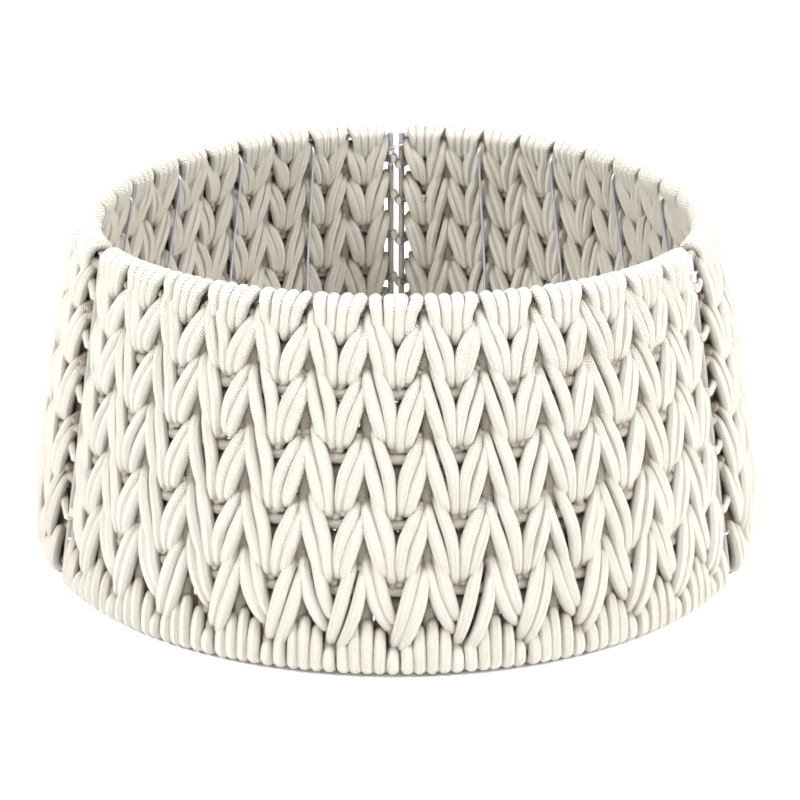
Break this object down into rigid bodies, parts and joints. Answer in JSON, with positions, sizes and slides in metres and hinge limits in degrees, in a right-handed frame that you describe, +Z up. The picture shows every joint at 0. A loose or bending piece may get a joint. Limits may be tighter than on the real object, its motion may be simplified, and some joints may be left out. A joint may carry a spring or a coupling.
{
  "type": "tree collar",
  "caption": "Flared ring-shaped tree collar of chunky braided rope on hinged wire panels, held shut by wire hooks; hides a tree stand.",
  "frame": {"origin": "on the floor under the middle of the collar, the centre of its bounding box's base", "axes": "+Z up, -Y towards the front panel, +Y through the back seam where the hooks open"},
  "size_m": [0.7, 0.6966, 0.312],
  "materials": {
    "cotton_rope": "cream white knitted cotton tube, matt",
    "frame_wire": "galvanised grey wire, satin",
    "clasp_steel": "bright zinc plating"
  },
  "bodies": {
    "front": {"front_top_wire": "frame_wire", "front_foot_wire": "frame_wire", "front_hinge_rod": "frame_wire", "front_latch_rod": "frame_wire", "front_outer_braid": "cotton_rope", "front_inner_braid_1": "cotton_rope", "front_inner_braid_2": "cotton_rope", "front_inner_braid_3": "cotton_rope", "front_inner_braid_4": "cotton_rope", "front_inner_braid_5": "cotton_rope", "front_inner_braid_6": "cotton_rope", "front_stay_1": "frame_wire", "front_stay_2": "frame_wire", "front_stay_3": "frame_wire", "front_stay_4": "frame_wire", "front_stay_5": "frame_wire", "front_weft_cord": "cotton_rope", "left_collar": "clasp_steel", "right_hook_top": "clasp_steel", "right_hook_foot": "clasp_steel"},
    "back_left": {"back_left_top_wire": "frame_wire", "back_left_foot_wire": "frame_wire", "back_left_hinge_rod": "frame_wire", "back_left_latch_rod": "frame_wire", "back_left_outer_braid": "cotton_rope", "back_left_inner_braid_1": "cotton_rope", "back_left_inner_braid_2": "cotton_rope", "back_left_inner_braid_3": "cotton_rope", "back_left_inner_braid_4": "cotton_rope", "back_left_inner_braid_5": "cotton_rope", "back_left_inner_braid_6": "cotton_rope", "back_left_stay_1": "frame_wire", "back_left_stay_2": "frame_wire", "back_left_stay_3": "frame_wire", "back_left_stay_4": "frame_wire", "back_left_stay_5": "frame_wire", "back_left_weft_cord": "cotton_rope", "back_collar": "clasp_steel", "left_hook_top": "clasp_steel", "left_hook_foot": "clasp_steel"},
    "back_right": {"back_right_top_wire": "frame_wire", "back_right_foot_wire": "frame_wire", "back_right_hinge_rod": "frame_wire", "back_right_latch_rod": "frame_wire", "back_right_outer_braid": "cotton_rope", "back_right_inner_braid_1": "cotton_rope", "back_right_inner_braid_2": "cotton_rope", "back_right_inner_braid_3": "cotton_rope", "back_right_inner_braid_4": "cotton_rope", "back_right_inner_braid_5": "cotton_rope", "back_right_inner_braid_6": "cotton_rope", "back_right_stay_1": "frame_wire", "back_right_stay_2": "frame_wire", "back_right_stay_3": "frame_wire", "back_right_stay_4": "frame_wire", "back_right_stay_5": "frame_wire", "back_right_weft_cord": "cotton_rope", "right_collar": "clasp_steel"},
    "top_hook": {"back_hook_top": "clasp_steel"},
    "foot_hook": {"back_hook_foot": "clasp_steel"}
  },
  "joints": [
    {"name": "left_seam", "type": "hinge", "parent": "front", "child": "back_left", "pos_m": [-0.27066, -0.17, 0.156], "axis": [0.1669, 0.0963, 0.9813], "range_deg": [0, 70]},
    {"name": "right_seam", "type": "hinge", "parent": "front", "child": "back_right", "pos_m": [0.27666, -0.1596, 0.156], "axis": [0.1669, -0.0963, -0.9813], "range_deg": [0, 70]},
    {"name": "top_hook_swing", "type": "hinge", "parent": "back_left", "child": "top_hook", "pos_m": [-0.006, 0.3092, 0.156], "axis": [0, 0.1927, -0.9813], "range_deg": [0, 60]},
    {"name": "foot_hook_swing", "type": "hinge", "parent": "back_left", "child": "foot_hook", "pos_m": [-0.006, 0.3092, 0.156], "axis": [0, 0.1927, -0.9813], "range_deg": [0, 60]}
  ]
}
